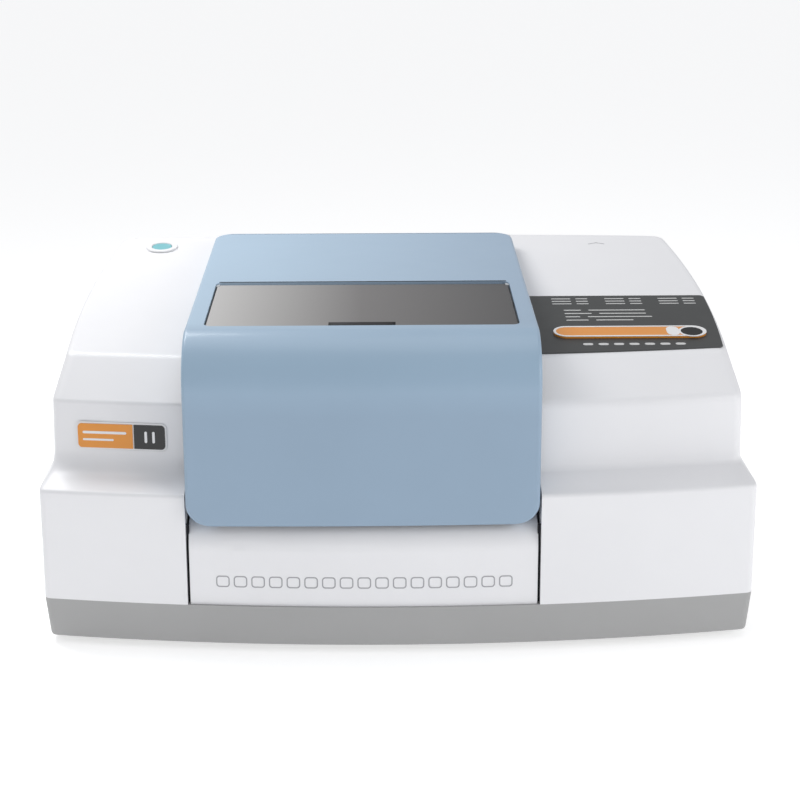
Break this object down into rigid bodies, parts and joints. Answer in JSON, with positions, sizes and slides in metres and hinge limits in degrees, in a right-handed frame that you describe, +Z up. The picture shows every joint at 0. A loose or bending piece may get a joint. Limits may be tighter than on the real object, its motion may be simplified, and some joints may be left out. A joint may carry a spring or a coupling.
{
  "type": "ftir spectrometer",
  "caption": "Bench-top infrared spectrometer with a raised hinged sample cover, tinted window flap, sample compartment, interferometer, detector and rear connector panel.",
  "frame": {"origin": "on the table under the middle of the instrument's box", "axes": "+X to the user's right, +Y to the rear, +Z up; the user stands at -Y"},
  "size_m": [0.5482, 0.515, 0.2684],
  "materials": {
    "plinth_grey": "satin",
    "shell_white": "satin",
    "cover_blue": "satin",
    "liner_grey": "fine texture",
    "flap_smoke": "tinted, satin",
    "rubber_black": "matte",
    "steel": "brushed",
    "aluminium": "fine milled",
    "bench_aluminium": "cast and milled",
    "black_anodised": "black anodised",
    "mirror": "polished",
    "salt_glass": "clear",
    "lens_black": "polished",
    "teal": "satin",
    "bezel_white": "satin",
    "badge_white": "satin",
    "badge_orange": "gloss",
    "badge_dark": "gloss",
    "label_grey": "satin film",
    "panel_grey": "fine texture",
    "black_plastic": "fine texture",
    "brass": "turned",
    "copper_coil": "wound wire",
    "canister_grey": "satin",
    "board_green": "solder mask",
    "supply_steel": "plated sheet",
    "laser_body": "satin",
    "ceramic_rod": "fired"
  },
  "bodies": {
    "chassis": {"base_tray": "plinth_grey", "rubber_feet": "rubber_black", "left_housing": "shell_white", "right_housing": "shell_white", "front_panel": "shell_white", "centre_deck": "shell_white", "hinge_brackets": "steel", "cover_hinge_pins": "steel", "compartment_tub": "liner_grey", "tub_flange": "liner_grey", "compartment_gasket": "rubber_black", "port_rings": "aluminium", "port_windows": "salt_glass", "sample_stand": "black_anodised", "button_bezel": "bezel_white", "badge_plate": "badge_white", "badge_colour_field": "badge_orange", "badge_dark_field": "badge_dark", "label_plate": "label_grey", "observation_bezel": "badge_orange", "indicator_lens": "lens_black", "desiccant_canister": "canister_grey", "rear_panel": "panel_grey", "mains_inlet": "black_plastic", "inlet_blades": "brass", "switch_frame": "black_plastic", "usb_socket": "steel", "purge_fittings": "brass", "panel_screws": "steel", "bench_mounts": "rubber_black", "optical_bench": "bench_aluminium", "mirror_mounts": "black_anodised", "collecting_mirrors": "mirror", "fixed_mirror": "mirror", "beamsplitter_mount": "black_anodised", "beamsplitter": "salt_glass", "scan_slide": "steel", "magnet_pot": "steel", "source_housing": "aluminium", "source_element": "ceramic_rod", "reference_laser": "laser_body", "laser_saddles": "black_anodised", "detector_housing": "aluminium", "detector_window": "salt_glass", "preamp_board": "board_green", "power_supply": "supply_steel", "board_pillars": "brass", "main_board": "board_green"},
    "cover": {"sample_cover": "cover_blue", "cover_liner": "liner_grey", "window_pin": "steel", "cover_hinge_arms": "steel"},
    "flap": {"window_flap": "flap_smoke"},
    "button": {"power_button": "teal"},
    "rocker": {"power_rocker": "black_plastic"},
    "scan_carriage": {"mirror_carriage": "aluminium", "moving_mirror": "mirror", "voice_coil": "copper_coil"},
    "holder": {"sample_holder": "aluminium", "sample_clips": "steel"}
  },
  "joints": [
    {"name": "cover_hinge", "type": "hinge", "parent": "chassis", "child": "cover", "pos_m": [-0.02695, 0.0505, 0.246], "axis": [-1, 0, 0], "range_deg": [0, 70]},
    {"name": "flap_hinge", "type": "hinge", "parent": "cover", "child": "flap", "pos_m": [-0.02695, -0.10264, 0.25162], "axis": [-1, 0, 0], "range_deg": [0, 80]},
    {"name": "button_press", "type": "slide", "parent": "chassis", "child": "button", "axis": [0, 0.1736, -0.9848], "range_m": [0, 0.002], "stiffness_N_per_m": 400, "springref_m": -0.001},
    {"name": "rocker_tilt", "type": "hinge", "parent": "chassis", "child": "rocker", "pos_m": [-0.00695, 0.2335, 0.0797], "axis": [1, 0, 0], "range_deg": [0, 20]},
    {"name": "mirror_scan", "type": "slide", "parent": "chassis", "child": "scan_carriage", "axis": [0, 1, 0], "range_m": [-0.005, 0.005]},
    {"name": "holder_lift", "type": "slide", "parent": "chassis", "child": "holder", "axis": [0, 0, 1], "range_m": [0, 0.06]}
  ]
}
